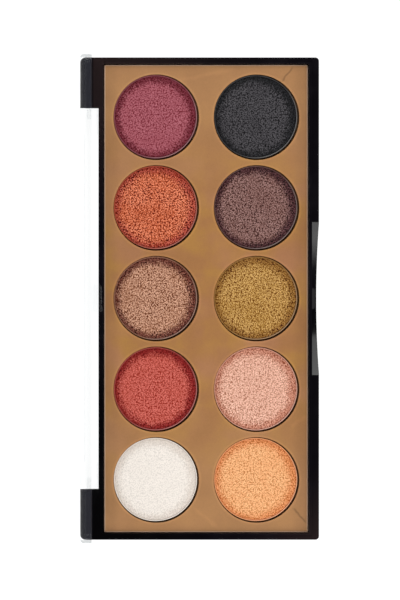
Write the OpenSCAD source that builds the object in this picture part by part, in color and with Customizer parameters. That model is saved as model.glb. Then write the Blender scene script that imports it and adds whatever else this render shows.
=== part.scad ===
// Ten-pan eyeshadow palette with a clear lid on a barrel hinge.
// X runs along the case, -Y is the thumb side, +Y is the hinge side and +Z is up.
// The origin is the middle of the footprint, on the face that the palette stands on.

/* [Case] */
// Length of the case, end to end
case_l = 148.2; // [146:0.1:160]
// Depth of the case, from the thumb side to the outside of the hinge
case_w = 73.4; // [73:0.1:80]
// Height of the base, up to the rim that the lid lands on
base_h = 8; // [7.8:0.1:10]
// Height of the closed lid above that rim
lid_h = 3.6; // [3.4:0.1:4.4]
// Radius of the upright corners and of the soft outer edges
corner_r = 1.1; // [0.8:0.1:1.6]
// Thickness of the base's floor
floor_t = 1.4; // [1.2:0.1:1.6]
// Thickness of the base's wall on the thumb side
front_wall = 3.25; // [3:0.05:3.6]
// Thickness of the base's two end walls
end_wall = 2.1; // [1.8:0.1:2.4]
// Thickness of the base's wall on the hinge side
back_wall = 1.6; // [1.2:0.1:1.8]

/* [Lip around the tray] */
// Height of the lip that the lid closes around
lip_h = 0.5; // [0.3:0.1:0.7]
// Width of the rim outside the lip, on the thumb side
front_rim = 2.12; // [1.9:0.02:2.3]
// Width of the rim outside the lip, at the ends
end_rim = 1.3; // [1.2:0.05:1.5]
// How far the inside of the thumb side's wall leans out towards its top
front_lean = 0.15; // [0.1:0.05:0.8]
// How far the inside of the end walls leans out towards the top
end_lean = 0.15; // [0.1:0.05:0.5]
// How far the inside of the hinge side's wall leans out towards its top
back_lean = 0.15; // [0.1:0.05:0.9]

/* [Thumb notch and catch] */
// Length of the scooped notch in the thumb side
notch_l = 47; // [36:1:60]
// Depth of the notch below the rim, in its middle
notch_h = 4.4; // [3.6:0.1:5]
// How far the wall under the notch bows in, in its middle
notch_bow = 0.78; // [0.4:0.02:1.2]
// Length of the catch nub on the notch's upright face
nub_l = 6.5; // [4:0.5:8]
// How far the catch nub stands out
nub_out = 0.86; // [0.6:0.02:0.9]
// Depth of the nub's upper edge below the rim
nub_drop = 1; // [0.8:0.1:1.2]
// Height of the nub
nub_h = 1; // [0.8:0.1:1.1]
// Width of the lid's catch tab
tab_w = 8; // [6:0.5:12]

/* [Hinge] */
// Radius of the hinge barrel
hinge_r = 2.73; // [2.6:0.01:2.8]
// Length of each barrel on the base
lug_l = 15.6; // [12:0.2:20]
// Radius of the barrels' outer ends
lug_r = 1.6; // [1:0.1:2]
// Gap between the lid's barrel and the base
hinge_gap = 0.2; // [0.16:0.02:0.4]
// Gap between the ends of the barrels
end_gap = 0.3; // [0.2:0.05:0.5]
// Diameter of the hinge pins
pin_d = 1.2; // [1:0.1:1.3]
// Length of each hinge pin
pin_l = 17.6; // [17:0.2:26]
// Depth of the pin's outer end inside its hole
pin_sunk = 1.2; // [0.5:0.1:2]
// Radial clearance of the pin in the lid
pin_play = 0.05; // [0.02:0.01:0.1]
// Length of the solid part of the lid's barrel around each pin
boss_l = 8; // [6:0.2:16]

/* [Lid] */
// Thickness of the lid's window
window_t = 1.4; // [1.2:0.1:1.6]
// Thickness of the lid's skirt on the thumb side
lid_front_t = 1.5; // [1.3:0.1:1.9]
// Thickness of the lid's skirt at the ends
lid_end_t = 1.2; // [1:0.05:1.2]
// How far the lid stands open, from shut to flat open
lid_open = 90; // [0:5:180]

/* [Tray] */
// Depth of the tray's face below the rim
tray_drop = 1; // [0.8:0.1:1.8]
// Gap between the tray and the base's walls
tray_gap = 0.12; // [0.05:0.01:0.2]
// Thickness of the tray's plate and of its skirt
tray_t = 1.2; // [1:0.1:1.4]
// Radius of the tray's corners and of its upper edge
tray_r = 0.3; // [0.2:0.1:1]
// Wall thickness of the tray's cups
cup_t = 0.9; // [0.7:0.1:1]
// Depth of the tray's wells
well_depth = 3.5; // [3.3:0.1:3.7]

/* [Pans] */
// Diameter of a pan
pan_d = 25.6; // [24:0.2:26]
// Height of a pan
pan_h = 3.3; // [3:0.1:3.5]
// Sheet thickness of a pan
pan_t = 0.35; // [0.25:0.05:0.5]
// Gap around a pan in its well
pan_gap = 0.35; // [0.35:0.05:0.5]
// How far the pans sit off the middle of their wells, along the case and towards the hinge
pan_seat = [0.14, 0.24]; // [0:0.02:0.24]
// Distance between pans along the case
pitch_l = 27.87; // [27.5:0.01:28.2]
// Distance between the two rows of pans
pitch_w = 30.82; // [28:0.01:31]
// Shift of the pans from the tray's middle towards the thumb side
pan_shift = 0.1; // [0:0.05:0.4]
// Width of the sloping edge of a pressed powder
shoulder_w = 1.4; // [0.8:0.1:2]
// Height of that slope
shoulder_h = 0.4; // [0.2:0.05:0.5]
// How far the middle of a powder stands above the pan's rim
powder_crown = 0.1; // [0:0.05:0.2]
// Diameter of the adhesive pad under each pan
pad_d = 16; // [10:1:20]
// Thickness of that pad
pad_t = 0.1; // [0.1:0.05:0.3]

/* [Hidden] */
HINGE_ROW = ["plum", "copper", "taupe", "coral", "ivory"];
THUMB_ROW = ["charcoal", "mauve", "olive", "pink", "peach"];
SHADES = concat(HINGE_ROW, THUMB_ROW);
SHADE_COLOURS = [
    [0.61, 0.33, 0.36], [0.75, 0.40, 0.28], [0.69, 0.51, 0.42], [0.74, 0.35, 0.31], [0.95, 0.91, 0.88],
    [0.26, 0.25, 0.26], [0.49, 0.36, 0.34], [0.69, 0.52, 0.29], [0.87, 0.67, 0.58], [0.93, 0.67, 0.46]
];

$fn = 64;
SOFT_FN = 32; // for the round edges, which are meshed
per_row = len(HINGE_ROW);
over = 1; // how far a cut runs past the face it opens
bow_over = 0.03; // how far the bow under the notch starts in front of the wall

// Faces of the case
end_x = case_l / 2;
front_y = -case_w / 2;
top_z = base_h + lid_h;
axis_y = case_w / 2 - hinge_r;
axis_z = top_z - hinge_r;
back_y = axis_y - hinge_r - hinge_gap;
lug_x = end_x - lug_l;
foot_y = axis_y + 1.15; // the foot under each lug, where the lid comes to rest flat open
base_draft = 0.25;

// The step between each lug and the rim: the wall leans from its foot to its top
step_foot = [axis_y - 1.25, base_h];
step_top = [axis_y - 0.55, top_z];

// The pocket that holds the tray
pocket_x = end_x - end_wall;
pocket_front = front_y + front_wall;
pocket_back = back_y - back_wall;
pocket_r = tray_r + tray_gap;
lip_front = front_y + front_rim;
lip_x = end_x - end_rim;
lip_z = base_h + lip_h;

// The tray
tray_x = pocket_x - tray_gap;
tray_front = pocket_front + tray_gap;
tray_back = pocket_back - tray_gap;
tray_z = base_h - tray_drop;
well_r = pan_d / 2 + pan_gap;
well_z = tray_z - well_depth;
cup_floor = 1;
cup_z = well_z - cup_floor;
skirt_z = tray_z - 3;
well_edge = 0.1;
pans_y = (tray_front + tray_back) / 2 - pan_shift;

// The snap beads that hold the tray: centre height, radius, how far they stand out, length
bead_z = skirt_z + 0.8;
bead_r = 0.5;
bead_out = 0.25;
bead_l = 10;
bead_x = 42;
bead_room = 0.05;

// The rings on the base's floor that carry the cups
ring_r = 10;
ring_t = 1;

// The shallow panel in the underside
panel_l = 104;
panel_w = 42;
panel_r = 3;
panel_depth = 0.3;

// A pan and its powder
pan_z = well_z + pad_t;
rim_z = pan_z + pan_h;
pan_corner = 0.7;
powder_r = pan_d / 2 - pan_t - 0.02;
crown_z = rim_z + powder_crown;

// The lid
window_z = top_z - window_t;
lid_foot = base_h + 0.05; // the air under the closed lid's skirt
knuckle_x = lug_x - end_gap;
sweep_r = hinge_r + hinge_gap;
lid_back = axis_y - 1.22; // the window's edge beside the lugs
pocket_end = pocket_back + 0.2; // inside of the lid's short back walls
shell_t = 1.2;
tab_t = 0.8;
tab_in = front_y + front_rim - nub_out - 0.1;
tab_foot = base_h - 3.1;
hook_in = 0.45;
hook_h = 0.95;

function arc(r, from, to, steps = 6) =
    [for (i = [0:steps]) let (a = from + (to - from) * i / steps) r * [cos(a), sin(a)]];
function moved(points, by) = [for (p = points) p + by];
function pan_place(i) = [
    (floor(per_row / 2) - i % per_row) * pitch_l,
    pans_y + (i < per_row ? 1 : -1) * pitch_w / 2,
    0
];
function seat_place(i) = pan_place(i) + [pan_seat.x, pan_seat.y, 0];

// A flat rectangle with round corners
module plate(x, y0, y1, r) {
    translate([-x, y0 + r]) square([2 * x, y1 - y0 - 2 * r]);
    translate([r - x, y0]) square([2 * (x - r), y1 - y0]);
    for (cx = [r - x, x - r], cy = [y0 + r, y1 - r]) translate([cx, cy]) circle(r);
}

module slab(x, y0, y1, z0, z1, r) {
    translate([0, 0, z0]) linear_extrude(z1 - z0) plate(x, y0, y1, r);
}

// A block whose upright edges are round, and so is its upper or its lower face's edge
module soft_block(x, y0, y1, z0, z1, r, soft_top = true, draft = 0) {
    soft_z = soft_top ? z1 - r : z0 + r;
    flat_z = soft_top ? z0 : z1 - 0.1;
    inset = r + draft;
    hull() for (side = [-1, 1]) {
        for (y = [y0 + inset, y1 - inset])
            translate([side * (x - inset), y, soft_z]) sphere(r, $fn = SOFT_FN);
        for (y = [y0 + r, y1 - r])
            translate([side * (x - r), y, flat_z]) cylinder(r = r, h = 0.1, $fn = SOFT_FN);
    }
}

// Draws its children, made along +Z from zero, outwards along X from the given place
module along_x(side, x) {
    translate([side * x, axis_y, axis_z]) rotate([0, side * 90, 0]) children();
}

// A profile drawn in Y and Z, drawn out along X around the middle
module profile_x(length) {
    rotate([90, 0, 90]) translate([0, 0, -length / 2]) linear_extrude(length) children();
}

// One hinge barrel of the base, cut back to leave the rim beside it free
module lug(side) {
    difference() {
        along_x(side, lug_x) rotate_extrude() polygon(concat(
            [[0, 0], [hinge_r, 0]],
            moved(arc(lug_r, 0, 90), [hinge_r - lug_r, lug_l - lug_r]),
            [[0, lug_l]]
        ));
        profile_x(case_l + 2 * over) polygon([
            step_foot, step_top, [step_top[0], top_z + over],
            [axis_y - 2 * hinge_r, top_z + over], [axis_y - 2 * hinge_r, base_h]
        ]);
    }
}

// What the thumb notch takes away: a round floor that rises to the rim at both ends, in front of
// an upright face, and a shallow bow in the wall under it
module notch() {
    scoop_r = (pow(notch_l / 2, 2) + pow(notch_h, 2)) / (2 * notch_h);
    translate([0, front_y - over, base_h - notch_h + scoop_r]) rotate([-90, 0, 0])
        cylinder(r = scoop_r, h = front_rim + over, $fn = 720);
    translate([0, 0, -over]) linear_extrude(base_h + 2 * over) polygon(concat(
        [[notch_l / 2, front_y - over], [-notch_l / 2, front_y - over]],
        [for (i = [-8:8]) [i / 16 * notch_l, front_y + notch_bow - (notch_bow + bow_over) * pow(i / 8, 2)]]
    ));
}

// The nub that the lid's catch snaps under: ramps above and below, round ends
module nub() {
    root = 0.4;
    intersection() {
        translate([0, lip_front, base_h - nub_drop - nub_h]) profile_x(nub_l) polygon([
            [root, 0], [0, 0], [-nub_out, nub_h * 0.3], [-nub_out, nub_h * 0.7], [0, nub_h], [root, nub_h]
        ]);
        slab(nub_l / 2, lip_front - nub_out, lip_front + 2 * root, 0, base_h, nub_out);
    }
}

// Six half-round beads on the tray's skirt, or the grooves for them when grown
module snap_beads(grow = 0) {
    r = bead_r + grow;
    length = bead_l + 2 * grow;
    inset = bead_r - bead_out;
    for (x = [-bead_x, bead_x], y = [tray_front + inset, tray_back - inset])
        translate([x - length / 2, y, bead_z]) rotate([0, 90, 0]) cylinder(r = r, h = length);
    for (x = [inset - tray_x, tray_x - inset])
        translate([x, pans_y + length / 2, bead_z]) rotate([90, 0, 0]) cylinder(r = r, h = length);
}

module pocket() {
    slab(pocket_x, pocket_front, pocket_back, floor_t, lip_z + over, pocket_r);
    hull() {
        slab(pocket_x, pocket_front, pocket_back, tray_z - 0.05, tray_z, pocket_r, $fn = SOFT_FN);
        slab(pocket_x + end_lean, pocket_front - front_lean, pocket_back + back_lean,
            lip_z, lip_z + 0.05, pocket_r, $fn = SOFT_FN);
    }
}

module base_shell() {
    color([0.09, 0.085, 0.09]) difference() {
        union() {
            difference() {
                soft_block(end_x, front_y, foot_y, 0, base_h, corner_r, soft_top = false,
                    draft = base_draft);
                translate([-lug_x, back_y, -over]) cube([2 * lug_x, 2 * hinge_r + over, base_h + 2 * over]);
            }
            slab(lip_x, lip_front, pocket_back - 0.4, base_h - over, lip_z, pocket_r);
            for (side = [-1, 1]) lug(side);
        }
        pocket();
        notch();
        snap_beads(bead_room);
        slab(panel_l / 2, pans_y - panel_w / 2, pans_y + panel_w / 2, -over, panel_depth, panel_r);
        for (side = [-1, 1]) along_x(side, lug_x - over) cylinder(d = pin_d, h = lug_l + 2 * over);
    }
    color([0.09, 0.085, 0.09]) nub();
    color([0.09, 0.085, 0.09]) for (i = [0:len(SHADES) - 1]) translate(pan_place(i))
        translate([0, 0, floor_t - 0.2]) difference() {
            cylinder(r = ring_r, h = cup_z - floor_t + 0.2);
            translate([0, 0, -over]) cylinder(r = ring_r - ring_t, h = base_h);
        }
}

module pan_tray() {
    color([0.67, 0.49, 0.31]) difference() {
        union() {
            soft_block(tray_x, tray_front, tray_back, tray_z - tray_t, tray_z, tray_r);
            difference() {
                slab(tray_x, tray_front, tray_back, skirt_z, tray_z - tray_t / 2 - 0.1, tray_r);
                slab(tray_x - tray_t, tray_front + tray_t, tray_back - tray_t,
                    skirt_z - over, tray_z - tray_t / 2, tray_r);
            }
            for (i = [0:len(SHADES) - 1]) translate(pan_place(i))
                translate([0, 0, cup_z]) cylinder(r = well_r + cup_t, h = tray_z - tray_t / 2 - cup_z);
            snap_beads();
        }
        for (i = [0:len(SHADES) - 1]) translate(pan_place(i)) {
            translate([0, 0, well_z]) cylinder(r = well_r, h = well_depth + over);
            translate([0, 0, tray_z - well_edge])
                cylinder(r1 = well_r, r2 = well_r + well_edge + over, h = well_edge + over);
        }
    }
}

// A stamped dish with a round bottom corner and a softened rim
module pan() {
    r = pan_d / 2;
    inner = pan_corner - pan_t;
    lip = pan_t / 2;
    color([0.80, 0.79, 0.77]) translate([0, 0, pan_z]) rotate_extrude() polygon(concat(
        [[0, 0]],
        moved(arc(pan_corner, -90, 0), [r - pan_corner, pan_corner]),
        moved(arc(lip, 0, 180), [r - lip, pan_h - lip]),
        moved(arc(inner, 0, -90), [r - pan_t - inner, pan_t + inner]),
        [[0, pan_t]]
    ));
}

// A pressed cake that fills its pan: a flat crown with a sloping edge
module powder(i) {
    bottom_r = powder_r - (pan_corner - pan_t) - 0.1;
    color(SHADE_COLOURS[i]) rotate_extrude() polygon([
        [0, pan_z + pan_t], [bottom_r, pan_z + pan_t], [powder_r, pan_z + pan_corner + 0.1],
        [powder_r, crown_z - shoulder_h], [powder_r - shoulder_w, crown_z - shoulder_h * 0.1],
        [powder_r - shoulder_w - 0.4, crown_z], [0, crown_z]
    ]);
}

module adhesive_pads() {
    color([0.93, 0.92, 0.88]) for (i = [0:len(SHADES) - 1]) translate(pan_place(i))
        translate([0, 0, well_z]) cylinder(d = pad_d, h = pad_t);
}

// A clear pin with chamfered ends, from inside the lid's boss to just inside the lug's end
module hinge_pin(side) {
    bevel = 0.2;
    color([0.92, 0.94, 0.95, 0.5]) along_x(side, end_x - pin_sunk - pin_l) rotate_extrude() polygon([
        [0, 0], [pin_d / 2 - bevel, 0], [pin_d / 2, bevel],
        [pin_d / 2, pin_l - bevel], [pin_d / 2 - bevel, pin_l], [0, pin_l]
    ]);
}

// The lid's barrel between the lugs: a solid boss at each end, and a curved shell between them
module knuckle() {
    shell_l = 2 * (knuckle_x - boss_l) + 0.2;
    for (side = [-1, 1]) along_x(side, knuckle_x - boss_l) cylinder(r = hinge_r, h = boss_l);
    difference() {
        along_x(1, -shell_l / 2) cylinder(r = hinge_r, h = shell_l);
        along_x(1, -shell_l) cylinder(r = hinge_r - shell_t, h = 2 * shell_l);
        translate([-shell_l, axis_y - 2 * hinge_r, 0]) cube([2 * shell_l, 2 * hinge_r, window_z]);
    }
}

// The tab that hangs from the skirt's middle, with a bead that snaps under the nub
module catch_tab() {
    profile_x(tab_w) polygon([
        [tab_in - tab_t, lid_foot + 0.6], [tab_in - tab_t, tab_foot + 0.3], [tab_in - tab_t + 0.3, tab_foot],
        [tab_in, tab_foot], [tab_in + hook_in, tab_foot + hook_h / 2],
        [tab_in, tab_foot + hook_h], [tab_in, lid_foot + 0.6]
    ]);
}

module shut_lid() {
    inside_x = end_x - lid_end_t;
    difference() {
        union() {
            difference() {
                soft_block(end_x, front_y, axis_y + 3, lid_foot, top_z, corner_r);
                slab(inside_x, front_y + lid_front_t, pocket_end, 0, window_z, 0.5);
                translate([-knuckle_x, pocket_end - over, 0]) cube([2 * knuckle_x, 20, window_z]);
                translate([-case_l, axis_y + 0.3, 0]) cube([2 * case_l, 20, 2 * top_z]);
                for (side = [-1, 1]) translate([side > 0 ? knuckle_x : -end_x - over, lid_back, 0])
                    cube([lug_l + end_gap + over, 20, 2 * top_z]);
                for (side = [-1, 1]) along_x(side, knuckle_x) cylinder(r = sweep_r, h = lug_l + 2 * over);
            }
            knuckle();
            catch_tab();
        }
        for (side = [-1, 1]) along_x(side, end_x - pin_sunk - pin_l - 0.4)
            cylinder(r = pin_d / 2 + pin_play, h = pin_l);
    }
}

module lid() {
    color([0.92, 0.94, 0.95, 0.3]) translate([0, axis_y, axis_z]) rotate([-lid_open, 0, 0])
        translate([0, -axis_y, -axis_z]) shut_lid();
}

base_shell();
pan_tray();
adhesive_pads();
lid();
hinge_pin(-1);  // hinge_pin_left
hinge_pin(1);  // hinge_pin_right
for (i = [0:len(SHADES) - 1]) {
    translate(seat_place(i)) pan();
    translate(seat_place(i)) powder(i);
}
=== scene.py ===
"""Dresses a ten-pan eyeshadow palette: glossy black case, gold tray, pressed powders, clear lid."""

import math

import bmesh
import bpy
from bpy.props import FloatProperty, FloatVectorProperty, IntProperty, PointerProperty
from bpy.types import Operator, Panel, PropertyGroup
from mathutils import Matrix, Vector, noise


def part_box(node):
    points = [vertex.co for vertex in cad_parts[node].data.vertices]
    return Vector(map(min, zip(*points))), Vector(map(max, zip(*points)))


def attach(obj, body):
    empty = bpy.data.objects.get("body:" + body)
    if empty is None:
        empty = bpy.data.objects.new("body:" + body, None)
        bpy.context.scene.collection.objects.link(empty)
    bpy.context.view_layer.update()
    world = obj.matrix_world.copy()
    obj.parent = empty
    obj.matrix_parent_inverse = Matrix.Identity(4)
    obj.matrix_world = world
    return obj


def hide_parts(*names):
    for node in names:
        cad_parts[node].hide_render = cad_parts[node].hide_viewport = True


bl_info = {
    "name": "Eyeshadow palette",
    "version": (1, 0, 0),
    "blender": (4, 5, 0),
    "location": "3D View > Sidebar > Palette",
    "description": "Makes the powders of a ten-pan palette and gives every part its finish",
    "category": "Object",
}

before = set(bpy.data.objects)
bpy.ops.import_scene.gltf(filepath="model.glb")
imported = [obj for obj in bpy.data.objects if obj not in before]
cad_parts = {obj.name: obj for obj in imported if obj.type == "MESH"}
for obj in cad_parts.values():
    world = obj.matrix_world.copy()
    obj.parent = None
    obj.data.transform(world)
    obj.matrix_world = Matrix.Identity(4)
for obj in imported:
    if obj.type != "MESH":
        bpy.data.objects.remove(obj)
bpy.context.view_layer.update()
MM = 0.001

# How far the pans sit off the middle of their wells, and the play all round
PAN_SEAT = Vector((0.14, 0.24, 0)) * MM
WELL_PLAY = 0.35 * MM

# How far the lighter face of each powder lies off the middle of its pan
FACE_SEAT = Vector((-0.22, 0.40, 0)) * MM

# Widths in the powders' grain: fine flakes, coarse flakes, and from one dark gap to the next
FINE_FLAKE, COARSE_FLAKE, FLAKE_GAP = 0.165 * MM, 0.30 * MM, 0.46 * MM

# Where each change of finish starts and ends. On the case:
LUG_CREST = (2.4 * MM, 1.4 * MM)  # below its highest point
LUG_FLANK_SHADE = (0.2 * MM, 2.6 * MM)  # in from its hinge side
STEP_SHADE_START = (3.1 * MM, 3.4 * MM)  # in from its hinge side
STEP_SHADE_END = (3.9 * MM, 4.1 * MM)  # in from its hinge side
UNDERSIDE = (0.34 * MM, 0.5 * MM)  # above its lowest point
# On the tray:
TRAY_EDGE_HIGHLIGHT = (-0.75 * MM, -0.40 * MM)  # out from its edge
TRAY_END_LIGHT = (20 * MM, 64 * MM)  # out from its middle, along it
TRAY_SIDE_SHADE = (26 * MM, 29 * MM)  # out from its middle, across it
WELL_SHADE_DEPTH = (0.9 * MM, 0.2 * MM)  # below its highest point
WELL_LIP_HIGHLIGHT = (0.2 * MM, 0.9 * MM)  # out from the wall of a well
# On the lid as it stands upright, on a pan and on a powder:
WINDOW_FOOT = (7 * MM, 9 * MM)  # above the lid's lowest point
WINDOW_TOP = (4 * MM, 3 * MM)  # below the lid's highest point
PAN_CREST = (0.14 * MM, 0.05 * MM)  # below the pan's highest point
FACE_EDGE = (9.7 * MM, 11.7 * MM)  # out from the middle of the powder's lighter face

# Each shade: the cake's face, its darker edge, and how far its flakes stray from them
# The edge's darkness is partly the powder's own deeper tone and partly painted shade of its slope
SHADES = {
    "plum": ((0.31, 0.068, 0.09), (0.13, 0.01, 0.02), 0.12),
    "copper": ((0.45, 0.072, 0.018), (0.26, 0.014, 0.003), 0.28),
    "taupe": ((0.375, 0.166, 0.09), (0.09, 0.012, 0.004), 0.23),
    "coral": ((0.48, 0.078, 0.055), (0.20, 0.004, 0.003), 0.14),
    "ivory": ((0.86, 0.79, 0.72), (0.71, 0.63, 0.56), 0.045),
    "charcoal": ((0.034, 0.031, 0.035), (0.003, 0.003, 0.004), 0.125),
    "mauve": ((0.16, 0.068, 0.056), (0.03, 0.003, 0.004), 0.205),
    "olive": ((0.38, 0.19, 0.033), (0.20, 0.075, 0.004), 0.205),
    "pink": ((0.71, 0.365, 0.26), (0.47, 0.18, 0.11), 0.175),
    "peach": ((0.85, 0.38, 0.16), (0.65, 0.23, 0.075), 0.14),
}


def length(name, description, default):
    """A size in metres that a user can change."""
    return FloatProperty(name=name, description=description, default=default, unit="LENGTH", precision=5)


def colour(name, description, default):
    """A colour that a user can change."""
    return FloatVectorProperty(
        name=name, description=description, default=default, subtype="COLOR", min=0, max=1
    )


def share(name, description, default):
    """A value from 0 to 1 that a user can change."""
    return FloatProperty(
        name=name, description=description, default=default, subtype="FACTOR", min=0, max=1
    )


class PowderSizes(PropertyGroup):
    """The shape of a pressed powder."""

    steps: IntProperty(name="Steps", description="Faces around a cake", default=288, min=32)
    ring_gap: length("Ring gap", "Distance between two rings of the cake's face", 0.16 * MM)
    shoulder: length("Shoulder", "Width of the sloping edge", 1.4 * MM)
    drop: length("Drop", "How far that edge slopes down", 0.4 * MM)
    crown: length("Crown", "Width of the round step from the slope to the face", 0.4 * MM)
    grain: length("Grain", "Height of the pressed grain", 0.018 * MM)
    grain_size: length("Grain size", "Width of one grain", 0.45 * MM)
    wave: length("Wave", "Height of the slow waves in the face", 0.03 * MM)
    wave_size: length("Wave size", "Width of one slow wave", 4.5 * MM)
    wander: length("Wander", "How far the edge's slope moves in and out", 0.35 * MM)


class CaseColours(PropertyGroup):
    """The colours of the case, the tray, the lid, the pans' metal and the adhesive pads."""

    black: colour("Black", "The case's plastic", (0.0024, 0.0018, 0.0032))
    # Painted sheen: a lighter brown laid over the black at two of the case's corners
    corner_sheen: colour("Film", "The film of handling at two of the case's corners", (0.021, 0.013, 0.013))
    # Painted sheen: a grey much lighter than the black, for the satin crests of the hinge lugs
    crest_sheen: colour("Worn", "The crests of the two hinge lugs", (0.024, 0.024, 0.031))
    gold: colour("Gold", "The tray's plastic", (0.430, 0.194, 0.066))
    ochre: colour("Ochre", "The tray's yellower patches", (0.445, 0.215, 0.054))
    tan: colour("Tan", "The tray's redder patches", (0.448, 0.200, 0.092))
    # Painted light: the tray is made paler towards both ends
    end_light: colour("Pale", "The tray's paler ends", (0.470, 0.237, 0.098))
    # Painted highlight on the tray's round upper edge
    edge: colour("Edge", "The tray's round upper edge", (0.92, 0.64, 0.46))
    clear: colour("Clear", "What the lid's rims and barrel let through", (0.992, 0.994, 0.994))
    window: colour("Window", "What each face of the lid's window lets through", (0.890, 0.902, 0.908))
    dense: colour("Dense", "What the lid lets through at a grazing look", (0.93, 0.95, 0.955))
    pan: colour("Pan", "The bare metal of the pans", (0.80, 0.78, 0.75))
    pad: colour("Pad", "The adhesive pads", (0.86, 0.84, 0.78))


class StageSettings(PropertyGroup):
    """The floor, the light and the camera."""

    level: share("Level", "Strength of the soft light from all round", 0.89)
    flag: share("Flag", "Strength of the light from straight above", 0.04)
    key: FloatProperty(name="Key", description="Power of the larger soft box", default=18.0, unit="POWER")
    floor: colour("Floor", "The floor's colour", (0.14, 0.14, 0.14))
    glow: share("Glow", "How far the floor is lifted towards white", 0.97)
    lens: FloatProperty(name="Lens", description="Focal length", default=1000.0, unit="CAMERA")
    far: length("Camera height", "Height of the camera above the floor", 5.1297)


def shade_props():
    """One group of colours for all ten shades, made from the list of shades."""
    fields = {}
    for shade, (face, edge, grain) in SHADES.items():
        title = shade.capitalize()
        fields[f"{shade}_face"] = colour(f"{title} face", f"Face of the {shade} powder", face)
        fields[f"{shade}_edge"] = colour(f"{title} edge", f"Edge of the {shade} powder", edge)
        fields[f"{shade}_grain"] = share(f"{title} grain", f"Contrast of the {shade} flakes", grain)
    doc = "The colours of the ten powders."
    return type("ShadeColours", (PropertyGroup,), {"__doc__": doc, "__annotations__": fields})


ShadeColours = shade_props()


class Link:
    """A socket of a finish's nodes. Sums, products and the like of values add Math nodes."""

    def __init__(self, finish, socket):
        self.finish, self.socket = finish, socket

    def __add__(self, other):
        return self.finish.maths("ADD", self, other)

    __radd__ = __add__

    def __sub__(self, other):
        return self.finish.maths("SUBTRACT", self, other)

    def __rsub__(self, other):
        return self.finish.maths("SUBTRACT", other, self)

    def __mul__(self, other):
        return self.finish.maths("MULTIPLY", self, other)

    __rmul__ = __mul__

    def __pow__(self, other):
        return self.finish.maths("POWER", self, other)

    def __abs__(self):
        return self.finish.maths("ABSOLUTE", self)

    def clamped(self):
        """The same value, kept from 0 to 1."""
        return self.finish.maths("ADD", self, 0.0, clamp=True)


class Finish:
    """A material or a world, and the nodes in it."""

    def __init__(self, tree, output="OutputMaterial"):
        self.tree = tree
        tree.nodes.clear()
        self.output = self.add(output, out=None)

    def add(self, kind, sockets=None, out=0, **settings):
        """Adds a node: its settings first, then its sockets' values or links.

        Gives one of its outputs, or the node itself where out is None.
        """
        node = self.tree.nodes.new("ShaderNode" + kind)
        for name, value in settings.items():
            setattr(node, name, value)
        for name, value in (sockets or {}).items():
            if isinstance(value, Link):
                self.tree.links.new(value.socket, node.inputs[name])
            else:
                node.inputs[name].default_value = value
        return node if out is None else Link(self, node.outputs[out])

    def maths(self, operation, a, b=0.0, clamp=False):
        """A sum on one or two values."""
        return self.add("Math", {0: a, 1: b}, operation=operation, use_clamp=clamp)

    def show(self, shader):
        """Makes a shader the one that is seen."""
        self.tree.links.new(shader.socket, self.output.inputs["Surface"])

    def mix(self, factor, a, b):
        """A colour between a and b, which are a Mix node's sockets 6 and 7 in its colour form."""
        a, b = (x if isinstance(x, Link) else (*x, 1) for x in (a, b))
        return self.add("Mix", {0: factor, 6: a, 7: b}, out=2, data_type="RGBA")

    def blend(self, factor, a, b):
        """A shader between a and b."""
        return self.add("MixShader", {0: factor, 1: a, 2: b})

    def scaled(self, tint, factor):
        """A colour made lighter or darker."""
        return self.add("VectorMath", {0: tint, "Scale": factor}, operation="SCALE")

    def axis(self, where, letter):
        """One coordinate of a place."""
        return self.add("SeparateXYZ", {0: where}, out=letter)

    def dot(self, a, b):
        """How far a reaches along b, times b's length."""
        return self.add("VectorMath", {0: a, 1: b}, out="Value", operation="DOT_PRODUCT")

    def between(self, value, low, high):
        """0 below low, 1 above high, and smooth between them."""
        sockets = {"Value": value, "From Min": low, "From Max": high}
        return self.add("MapRange", sockets, interpolation_type="SMOOTHSTEP")

    def band(self, value, start, end):
        """1 between start and end, each a pair of values over which it changes smoothly."""
        return self.between(value, *start) * (1 - self.between(value, *end))

    def place(self, centre=(0, 0, 0), scale=(1, 1, 1), turn=0.0):
        """Object coordinates: stretched about a centre, or stretched and turned about the origin."""
        where = self.add("TexCoord", out="Object")
        shift = [-c * s for c, s in zip(centre, scale)]
        return self.add("Mapping", {0: where, "Location": shift, "Rotation": (0, 0, turn), "Scale": scale})

    def noise(self, where, size, detail=2.0, rough=0.5):
        """Soft noise from 0 to 1, whose patches are about so many metres wide."""
        sockets = {"Vector": where, "Scale": 1 / size, "Detail": detail, "Roughness": rough}
        return self.add("TexNoise", sockets, out="Fac")

    def cells(self, where, size):
        """A random number from 0 to 1 for each flake."""
        flakes = self.add("TexVoronoi", {"Vector": where, "Scale": 1 / size}, out="Color")
        return self.add("SeparateColor", {0: flakes})

    def gaps(self, where, size):
        """0 at the middle of each flake, rising to the gaps between flakes."""
        sockets = {"Vector": where, "Scale": 1 / size}
        return self.add("TexVoronoi", sockets, out="Distance", voronoi_dimensions="2D")

    def bump(self, height, distance, strength=1.0):
        """A normal that follows a height, which is distance metres where it is 1."""
        return self.add("Bump", {"Height": height, "Distance": distance, "Strength": strength})

    def surface(self, **sockets):
        """A Principled shader; a socket's name is written with _ for each space."""
        return self.add("BsdfPrincipled", {k.replace("_", " "): v for k, v in sockets.items()})


def new_finish(name):
    """A new material, and its nodes to fill."""
    material = bpy.data.materials.new(name)
    material.use_nodes = True
    return material, Finish(material.node_tree)


def dress(node, material):
    """Gives a node of the packed model its finish."""
    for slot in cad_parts[node].material_slots:
        slot.material = material


def middle(node):
    """The middle of a node's footprint, and its lowest and highest Z."""
    low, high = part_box(node)
    return Vector(((low.x + high.x) / 2, (low.y + high.y) / 2, 0)), low.z, high.z


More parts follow.
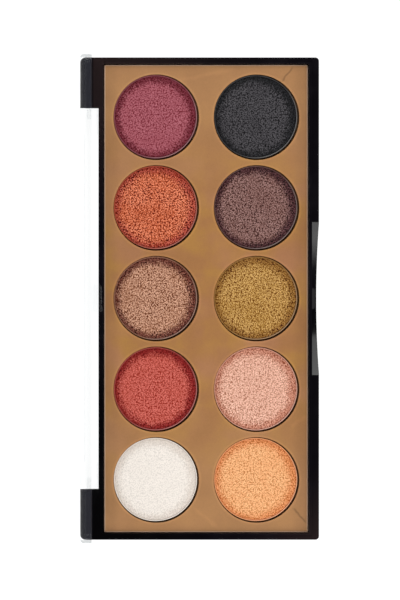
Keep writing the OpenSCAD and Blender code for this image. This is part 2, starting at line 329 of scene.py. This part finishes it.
def keep(bm, name, material, body, node):
    """Turns a finished bmesh into a piece that rides on a body and stands for a node."""
    mesh = bpy.data.meshes.new(name)
    bm.to_mesh(mesh)
    bm.free()
    mesh.materials.append(material)
    mesh.polygons.foreach_set("use_smooth", [True] * len(mesh.polygons))
    piece = bpy.data.objects.new(name, mesh)
    bpy.context.scene.collection.objects.link(piece)
    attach(piece, body)
    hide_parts(node)
    return piece


def case_finish(colours):
    """Glossy black plastic, smudged and handled; satin on the lugs' crests and matt underneath."""
    material, f = new_finish("glossy black plastic")
    low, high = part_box("base_shell")
    where = f.place()
    height, inward = f.axis(where, "Z"), high.y - f.axis(where, "Y")
    smudge = f.noise(where, 14 * MM, detail=3, rough=0.6)
    hair = f.noise(f.place(scale=(0.08, 1, 1), turn=0.4), 0.5 * MM, detail=2, rough=0.6)
    speck = f.noise(where, 0.35 * MM, detail=1)

    # Two lines from corner to corner: a painted sheen, lighter and browner than the black, lies at
    # both ends of the first, and a painted shade darkens one end of the second
    to_sheen, to_shade = (1.25 / high.x, -0.55 / low.y, 0), (-1 / high.x, -1 / low.y, 0)
    along = f.dot(where, to_sheen) + 0.3 * (smudge - 0.5)
    corner_sheen = f.between(along, 0.7, 1.9) + f.between(-1 * along, 1.35, 1.95)
    corner_shade = f.between(f.dot(where, to_shade), 0.7, 1.5)
    # Painted shade: a band along the lugs' step keeps the plain black, without smudges or sheen, as a dark
    # line
    step_shade = f.band(inward, STEP_SHADE_START, STEP_SHADE_END)
    smeared, shade_black = ([c * light for c in colours.black] for light in (1.8, 0.3))
    tint = f.mix(f.between(smudge, 0.3, 0.8), colours.black, smeared)
    tint = f.mix(step_shade, f.mix(corner_sheen, f.mix(corner_shade, tint, shade_black), colours.corner_sheen), colours.black)

    # The lugs' crests are satin; their grey is a painted sheen, darker on the outer flank as painted shade
    crest = f.between(height, *(high.z - depth for depth in LUG_CREST))
    flank_shade = 0.6 + 0.4 * f.between(inward, *LUG_FLANK_SHADE)
    under = 1 - f.between(height, *UNDERSIDE)
    rough = 0.12 + 0.10 * f.between(smudge, 0.42, 0.68) + 0.07 * f.between(hair, 0.62, 0.75)
    relief = under * speck + 0.04 * f.noise(where, 2.2 * MM)
    shiny = f.surface(
        Base_Color=tint, Roughness=rough + 0.32 * under, Specular_IOR_Level=0.35,
        Normal=f.bump(relief, 0.02 * MM),
    )
    satin = f.surface(
        Base_Color=f.scaled(colours.crest_sheen, flank_shade * (0.9 + 0.2 * smudge)), Roughness=0.5 + 0.1 * hair,
        Specular_IOR_Level=0.05, Normal=f.bump(speck, 0.004 * MM),
    )
    f.show(f.blend(crest, shiny, satin))
    return material


# Flow marks in the tray, each as its two ends in mm: dark creases, and paler swirls
CREASES = (((71.6, -29.0), (66.4, -24.8)), ((-64.2, -28.4), (-69.2, -33.2)))
SWIRLS = (((66.6, 8.5), (71.0, -12.6)), ((-63.6, 2.6), (-71.0, -6.4)), ((-35.6, -33.4), (-39.6, -27.8)))


def flow_mark(f, flat, wander, ends, half_width):
    """1 along a wandering line between two points, fading to 0 beside it and at its ends."""
    (x0, y0), (x1, y1) = ((x * MM, y * MM) for x, y in ends)
    run, centre = Vector((x1 - x0, y1 - y0)), ((x0 + x1) / 2, (y0 + y1) / 2, 0)
    along, across = run.normalized(), run.normalized().orthogonal()
    off = f.add("VectorMath", {0: flat, 1: centre}, operation="SUBTRACT")
    aside = f.dot(off, (*across, 0)) + 1.4 * MM * (wander - 0.5)
    forth = f.dot(off, (*along, 0))
    reach = run.length / 2
    return (1 - f.between(abs(aside), 0, half_width)) * (1 - f.between(abs(forth), reach * 0.6, reach))


def flow_marks(f, flat, wander, marks, half_width):
    """1 along any of several flow marks."""
    return sum((flow_mark(f, flat, wander, ends, half_width) for ends in marks), start=0.0)


def well_lip_highlights(f, flat):
    """1 on a paler ring round each well, fading to 0 away from it."""
    low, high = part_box("pan_plum")
    wall = (high.x - low.x) / 2 + WELL_PLAY
    nearest = 1.0
    for shade in SHADES:
        well = middle(f"pan_{shade}")[0] - PAN_SEAT
        off = f.add("VectorMath", {0: flat, 1: well}, out="Value", operation="DISTANCE")
        nearest = f.maths("MINIMUM", nearest, off)
    return 1 - f.between(nearest, *(wall + width for width in WELL_LIP_HIGHLIGHT))


def tray_finish(colours):
    """Pearly gold plastic: slow patches of ochre and tan, paler ends, fine pearl, flow marks."""
    material, f = new_finish("pearl gold plastic")
    low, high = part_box("pan_tray")
    centre = (0, (low.y + high.y) / 2, 0)
    where, flat, from_centre = f.place(), f.place(scale=(1, 1, 0)), f.place(centre=centre)
    out_x, out_y = (abs(f.axis(from_centre, letter)) for letter in "XY")
    patch = f.noise(where, 9 * MM, detail=3, rough=0.55)
    drift = f.noise(f.place(centre=(0.05, 0.02, 0.01)), 15 * MM)
    pearl = f.noise(where, 0.45 * MM, detail=2, rough=0.6)
    wander = f.noise(where, 3 * MM)

    past_edge = f.maths("MAXIMUM", out_x - high.x, out_y - (high.y - low.y) / 2)
    # Painted highlight along the tray's edge, and painted light towards its ends
    edge_highlight = f.between(past_edge, *TRAY_EDGE_HIGHLIGHT)
    ends = f.between(out_x + 20 * MM * (drift - 0.5), *TRAY_END_LIGHT)
    tint = f.mix(f.between(patch, 0.38, 0.66), colours.gold, colours.ochre)
    tint = f.mix(0.8 * f.between(drift, 0.45, 0.7), tint, colours.tan)
    tint = f.mix(0.9 * edge_highlight, f.mix(0.85 * ends, tint, colours.end_light), colours.edge)

    creases = flow_marks(f, flat, wander, CREASES, 0.5 * MM)
    swirls = flow_marks(f, flat, wander, SWIRLS, 1.0 * MM)
    # Painted shade at the long sides and down the wells' walls; a painted highlight round each well
    side_shade = f.between(out_y, *TRAY_SIDE_SHADE)
    well_shade = 1 - f.between(f.axis(where, "Z"), *(high.z - depth for depth in WELL_SHADE_DEPTH))
    light = 1 + 0.16 * (pearl - 0.5) + 0.20 * (patch - 0.5) - 0.36 * creases + 0.09 * swirls
    light = light - 0.10 * side_shade + 0.16 * well_lip_highlights(f, flat) - 0.55 * well_shade
    f.show(f.surface(
        Base_Color=f.scaled(tint, light), Metallic=0.35, Roughness=0.42 + 0.12 * (patch - 0.5),
        Normal=f.bump(pearl + 0.5 * creases, 0.012 * MM),
    ))
    return material


def lid_finish(colours):
    """Clear plastic, which mirrors more and lets less through the flatter it is looked at.

    Its window is a little greyer than its rims and its barrel.
    """
    material, f = new_finish("clear plastic")
    low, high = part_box("lid")
    where = f.place()
    hair = f.noise(f.place(scale=(0.1, 1, 1), turn=0.3), 0.7 * MM, detail=2, rough=0.6)
    haze = f.noise(where, 12 * MM, detail=2)
    foot, top = [low.z + up for up in WINDOW_FOOT], [high.z - depth for depth in WINDOW_TOP]
    window = f.band(f.axis(where, "Z"), foot, top)
    slant = f.add("LayerWeight", {"Blend": 0.5}, out="Facing")
    clear, pane, dense = (
        f.add("BsdfTransparent", {"Color": (*tint, 1)})
        for tint in (colours.clear, colours.window, colours.dense)
    )
    through = f.blend(slant**3, f.blend(window, clear, pane), dense)
    rough = 0.03 + 0.05 * f.between(hair, 0.60, 0.75) + 0.03 * haze
    gloss = f.add("BsdfGlossy", {"Color": (1, 1, 1, 1), "Roughness": rough})
    f.show(f.blend(0.015 + 0.30 * slant**4, through, gloss))
    return material


def pad_finish(colours):
    """Matt adhesive with a slightly uneven face."""
    material, f = new_finish("adhesive")
    uneven = f.noise(f.place(), 0.9 * MM, detail=3, rough=0.6)
    hollow = [0.85 * c for c in colours.pad]
    f.show(f.surface(
        Base_Color=f.mix(uneven, hollow, colours.pad), Roughness=0.55 + 0.2 * uneven,
        Normal=f.bump(uneven, 0.03 * MM),
    ))
    return material


def pan_finish(shade, face, edge, metal, centre, top):
    """Stamped metal, dusted with the pan's own powder; more metal shows on one side of its rim."""
    material, f = new_finish(f"dusted metal, {shade}")
    where = f.place()
    lines = f.noise(f.place(scale=(1, 1, 6)), 0.3 * MM, detail=2)
    settled = f.noise(where, 5 * MM, detail=3, rough=0.6)
    outwards = f.add("VectorMath", {0: f.place(centre=centre, scale=(1, 1, 0))}, operation="NORMALIZE")
    # Painted highlight: more metal shows on the side of the lip that faces the key lamp
    lit_side = f.dot(outwards, (-0.6, -0.8, 0))
    crest = f.between(f.axis(where, "Z"), *(top - depth for depth in PAN_CREST))
    bare_and_highlight = crest * (0.02 + 0.12 * f.between(lit_side + 0.8 * (settled - 0.5), 0.0, 0.9))
    dust = f.mix(f.noise(where, 0.5 * MM), edge, face)
    f.show(f.surface(
        Base_Color=f.mix(bare_and_highlight, dust, metal), Metallic=0.02 + bare_and_highlight, Roughness=0.45 + 0.15 * lines,
        Specular_IOR_Level=0.25, Normal=f.bump(lines + settled, 0.008 * MM),
    ))
    return material


def toned(tint, step):
    """A colour made lighter or darker by the same step in each channel, as the eye sees it."""
    gamma = 2.2
    return [min(1.0, max(0.0, c ** (1 / gamma) + step)) ** gamma for c in tint]


def powder_finish(shade, face, edge, grain, centre):
    """Pressed shimmer powder: fine flakes, dark and bright, and a darker sloping edge."""
    material, f = new_finish(f"pressed powder, {shade}")
    where = f.place()
    from_centre = f.place(centre=centre + FACE_SEAT, scale=(1, 1, 0))
    reach = f.add("VectorMath", {0: from_centre}, out="Value", operation="LENGTH")
    slow = f.noise(where, 3.2 * MM, detail=3, rough=0.6)
    strong = 0.75 + 0.5 * f.between(f.noise(where, 9 * MM), 0.4, 0.6)
    fine, coarse = f.cells(where, FINE_FLAKE), f.cells(where, COARSE_FLAKE)
    flakes = 2.9 * (0.45 - f.gaps(where, FLAKE_GAP)) + 2.1 * (fine - 0.5)
    light = strong * flakes + 0.5 * (slow - 0.5)
    up, down = light.clamped(), (-1 * light).clamped()

    # The darker edge is partly the powder's own deeper tone and partly painted shade of its slope
    ragged = reach + 2.4 * MM * (slow - 0.5) + 1.6 * MM * (coarse - 0.5)
    edge_tone_and_shade = f.between(ragged, *FACE_EDGE)
    plain = f.mix(edge_tone_and_shade, face, edge)
    dark, bright = (
        f.mix(edge_tone_and_shade, toned(face, step), toned(edge, 0.9 * step)) for step in (-1.3 * grain, grain)
    )
    f.show(f.surface(
        Base_Color=f.mix(up, f.mix(down, plain, dark), bright), Metallic=0.02 + 0.06 * up,
        Roughness=0.66 - 0.18 * up, Specular_IOR_Level=0.12,
        Normal=f.bump(fine + coarse, 0.02 * MM, strength=0.6),
    ))
    return material


def steps_to(start, end, count):
    """Points in even steps from start to end, without start itself."""
    return [start.lerp(end, (i + 1) / count) for i in range(count)]


def cake_outline(sizes, radius, face_radius, foot, top):
    """Half of a cake's section, from the middle of its face round to the middle of its foot."""
    rings = int(face_radius / sizes.ring_gap)
    outline = [(face_radius * i / rings, top) for i in range(rings + 1)]
    brow = Vector((radius - sizes.shoulder, top - 0.1 * sizes.drop))
    outline += steps_to(Vector((face_radius, top)), brow, count=3)
    outline += steps_to(brow, Vector((radius, top - sizes.drop)), count=9)
    chamfer = 0.45 * MM
    return outline + [(radius, foot + chamfer), (radius - chamfer, foot), (0, foot)]


def spun(outline, steps):
    """A closed bmesh, made by turning an outline once round the Z axis."""
    bm = bmesh.new()
    points = [bm.verts.new((x, 0, z)) for x, z in outline]
    edges = [bm.edges.new(pair) for pair in zip(points, points[1:])]
    bmesh.ops.spin(
        bm, geom=points + edges, cent=(0, 0, 0), axis=(0, 0, 1), angle=math.tau,
        steps=steps, use_merge=True, use_duplicate=False,
    )
    bmesh.ops.remove_doubles(bm, verts=bm.verts, dist=1e-7)
    bmesh.ops.recalc_face_normals(bm, faces=bm.faces)
    return bm


def powder_mesh(node, sizes, seed):
    """A cake spun from its outline, with grain and slow waves pressed into its face."""
    centre, foot, top = middle(node)
    low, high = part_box(node)
    radius = (high.x - low.x) / 2
    face_radius = radius - sizes.shoulder - sizes.crown
    bm = spun(cake_outline(sizes, radius, face_radius, foot, top), sizes.steps)

    face_foot = top - sizes.drop - 0.02 * MM
    held_width, wander_size = 0.5 * MM, 5 * MM
    start = Vector((seed * 0.37, seed * 0.21, 0))

    def sunk(reach):
        """How far the sloping edge has dropped, so far from the middle."""
        return max(0.0, reach - face_radius) * sizes.drop / (radius - face_radius)

    for v in bm.verts:
        if v.co.z < face_foot:
            continue
        at = v.co + start
        reach = v.co.xy.length
        free = min(1.0, max(0.0, (radius - reach) / held_width))
        shift = 0.0
        if reach > face_radius * 0.8:
            wandered = reach + sizes.wander * noise.noise(at / wander_size)
            shift = sunk(reach) - sunk(wandered)
        fine = noise.noise(at / sizes.grain_size)
        finer = noise.noise(at * 2.1 / sizes.grain_size)
        rough = sizes.grain * (fine + 0.5 * finer)
        slow = sizes.wave * noise.noise(at / sizes.wave_size)
        # Half a grain lower all over, because the grain is pressed into the cake and not added
        v.co.z += free * (rough + slow + shift) - sizes.grain * 0.5
    bm.transform(Matrix.Translation(centre))
    return bm


class PALETTE_OT_case(Operator):
    """Finish the black case"""

    bl_idname = "palette.case"
    bl_label = "Finish the case"

    def execute(self, context):
        dress("base_shell", case_finish(context.scene.palette_colours))
        return {"FINISHED"}


class PALETTE_OT_tray(Operator):
    """Finish the gold tray"""

    bl_idname = "palette.tray"
    bl_label = "Finish the tray"

    def execute(self, context):
        dress("pan_tray", tray_finish(context.scene.palette_colours))
        return {"FINISHED"}


class PALETTE_OT_pads(Operator):
    """Finish the adhesive pads under the pans"""

    bl_idname = "palette.pads"
    bl_label = "Finish the adhesive pads"

    def execute(self, context):
        dress("adhesive_pads", pad_finish(context.scene.palette_colours))
        return {"FINISHED"}


class PALETTE_OT_lid(Operator):
    """Finish the clear lid and its clear hinge pins"""

    bl_idname = "palette.lid"
    bl_label = "Finish the lid and its pins"

    def execute(self, context):
        clear = lid_finish(context.scene.palette_colours)
        for node in ("lid", "hinge_pin_left", "hinge_pin_right"):
            dress(node, clear)
        return {"FINISHED"}


class PALETTE_OT_pans(Operator):
    """Finish the ten pans, each dusted with its own powder"""

    bl_idname = "palette.pans"
    bl_label = "Finish the pans"

    def execute(self, context):
        shades, metal = context.scene.palette_shades, context.scene.palette_colours.pan
        for shade in SHADES:
            face, edge = (getattr(shades, f"{shade}_{part}") for part in ("face", "edge"))
            centre, _, top = middle(f"pan_{shade}")
            dress(f"pan_{shade}", pan_finish(shade, face, edge, metal, centre, top))
        return {"FINISHED"}


class PALETTE_OT_powders(Operator):
    """Make the ten pressed powders"""

    bl_idname = "palette.powders"
    bl_label = "Make the powders"

    def execute(self, context):
        sizes, shades = context.scene.palette_powder, context.scene.palette_shades
        for seed, shade in enumerate(SHADES, start=1):
            node = f"powder_{shade}"
            bm = powder_mesh(node, sizes, seed)
            looks = (getattr(shades, f"{shade}_{part}") for part in ("face", "edge", "grain"))
            material = powder_finish(shade, *looks, middle(node)[0])
            keep(bm, f"pressed_{shade}", material, "base", node)
        return {"FINISHED"}


# Each soft box: its place and width in metres, and its power as a part of the key's
SOFT_BOXES = {"key": ((-1.2, -0.65, 1.7), 1.3, 1.0), "fill": ((1.15, 0.1, 1.7), 1.1, 0.6)}

# Where the soft light fades towards straight above, as the Z of its direction
FLAG_EDGE = (0.70, 0.97)

# How far the floor reaches each way in metres, and the point that the camera looks at
FLOOR_REACH = 3.0
AIM = Vector((-0.43, -0.14, 8.0)) * MM


class PALETTE_OT_stage(Operator):
    """Make the floor, the light and the camera"""

    bl_idname = "palette.stage"
    bl_label = "Make the stage"

    def execute(self, context):
        scene, settings = context.scene, context.scene.palette_stage
        scene.view_settings.view_transform = "Standard"
        self.make_world(scene, settings)
        self.make_floor(settings)
        for name, (place, size, part) in SOFT_BOXES.items():
            self.make_lamp(name, settings.key * part, place, size)
        self.make_camera(scene, settings)
        return {"FINISHED"}

    def lit(self, f):
        """1 for the rays that show a background, as seen, mirrored or through glass."""
        rays = [f.add("LightPath", out=f"Is {kind} Ray") for kind in ("Camera", "Glossy", "Transmission")]
        return (rays[0] + rays[1] + rays[2]).clamped()

    def make_world(self, scene, settings):
        """Soft light from all round, dimmed straight above; white where the camera sees it."""
        world = bpy.data.worlds.new("soft light")
        scene.world = world
        world.use_nodes = True
        f = Finish(world.node_tree, "OutputWorld")
        dim = f.between(f.axis(f.add("TexCoord", out="Generated"), "Z"), *FLAG_EDGE)
        seen = f.add("LightPath", out="Is Camera Ray")
        soft = settings.level + (1 - settings.level) * self.lit(f)
        flagged = soft * (1 - dim) + settings.flag * dim
        strength = flagged * (1 - seen) + seen
        f.show(f.add("Background", {"Color": (1, 1, 1, 1), "Strength": strength}))

    def make_floor(self, settings):
        """A pale matt floor, lifted to white where it is seen as a background."""
        bm = bmesh.new()
        bmesh.ops.create_grid(bm, x_segments=2, y_segments=2, size=FLOOR_REACH)
        mesh = bpy.data.meshes.new("floor")
        bm.to_mesh(mesh)
        bm.free()
        floor = bpy.data.objects.new("floor", mesh)
        bpy.context.scene.collection.objects.link(floor)
        material, f = new_finish("floor")
        mesh.materials.append(material)
        matt = f.add("BsdfDiffuse", {"Color": (*settings.floor, 1)})
        glow = f.add("Emission", {"Color": (1, 1, 1, 1), "Strength": settings.glow * self.lit(f)})
        f.show(f.add("AddShader", {0: matt, 1: glow}))

    def make_lamp(self, name, power, place, size):
        """A square soft box, turned to the middle of the floor."""
        lamp = bpy.data.lights.new(name, "AREA")
        lamp.shape, lamp.size, lamp.energy = "SQUARE", size, power
        holder = bpy.data.objects.new(name, lamp)
        holder.location = place
        holder.rotation_euler = Vector(place).to_track_quat("Z", "Y").to_euler()
        bpy.context.scene.collection.objects.link(holder)

    def make_camera(self, scene, settings):
        """Straight above, level with the upright lid, with the case's +X end at the top."""
        low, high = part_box("lid")
        eye = Vector((0, (low.y + high.y) / 2, settings.far))
        back = (eye - AIM).normalized()
        right = Vector((1, 0, 0)).cross(back).normalized()
        camera = bpy.data.cameras.new("camera")
        camera.lens, camera.sensor_width = settings.lens, 36
        camera.clip_start, camera.clip_end = 0.1, 20
        holder = bpy.data.objects.new("camera", camera)
        turn = Matrix((right, back.cross(right), back)).transposed()
        holder.matrix_world = Matrix.Translation(eye) @ turn.to_4x4()
        scene.collection.objects.link(holder)
        scene.camera = holder


STEPS = (
    PALETTE_OT_case, PALETTE_OT_tray, PALETTE_OT_pads, PALETTE_OT_lid,
    PALETTE_OT_pans, PALETTE_OT_powders, PALETTE_OT_stage,
)
GROUPS = {
    "palette_powder": PowderSizes,
    "palette_shades": ShadeColours,
    "palette_colours": CaseColours,
    "palette_stage": StageSettings,
}


class PALETTE_PT_steps(Panel):
    """The steps that make the palette, and the values that they use"""

    bl_idname = "PALETTE_PT_steps"
    bl_label = "Eyeshadow palette"
    bl_space_type = "VIEW_3D"
    bl_region_type = "UI"
    bl_category = "Palette"

    def draw(self, context):
        for step in STEPS:
            self.layout.operator(step.bl_idname)
        for name, group in GROUPS.items():
            column = self.layout.box().column()
            for field in group.__annotations__:
                column.prop(getattr(context.scene, name), field)


def register():
    for cls in (*GROUPS.values(), *STEPS, PALETTE_PT_steps):
        bpy.utils.register_class(cls)
    for name, group in GROUPS.items():
        setattr(bpy.types.Scene, name, PointerProperty(type=group))


def unregister():
    for name in GROUPS:
        delattr(bpy.types.Scene, name)
    for cls in reversed((*GROUPS.values(), *STEPS, PALETTE_PT_steps)):
        bpy.utils.unregister_class(cls)


def main():
    """Runs the steps in order, and writes the object's size before and after them."""
    register()
    bpy.ops.palette.case()
    bpy.ops.palette.tray()
    bpy.ops.palette.pads()
    bpy.ops.palette.lid()
    bpy.ops.palette.pans()
    bpy.ops.palette.powders()
    bpy.ops.palette.stage()


if __name__ == "__main__":
    main()
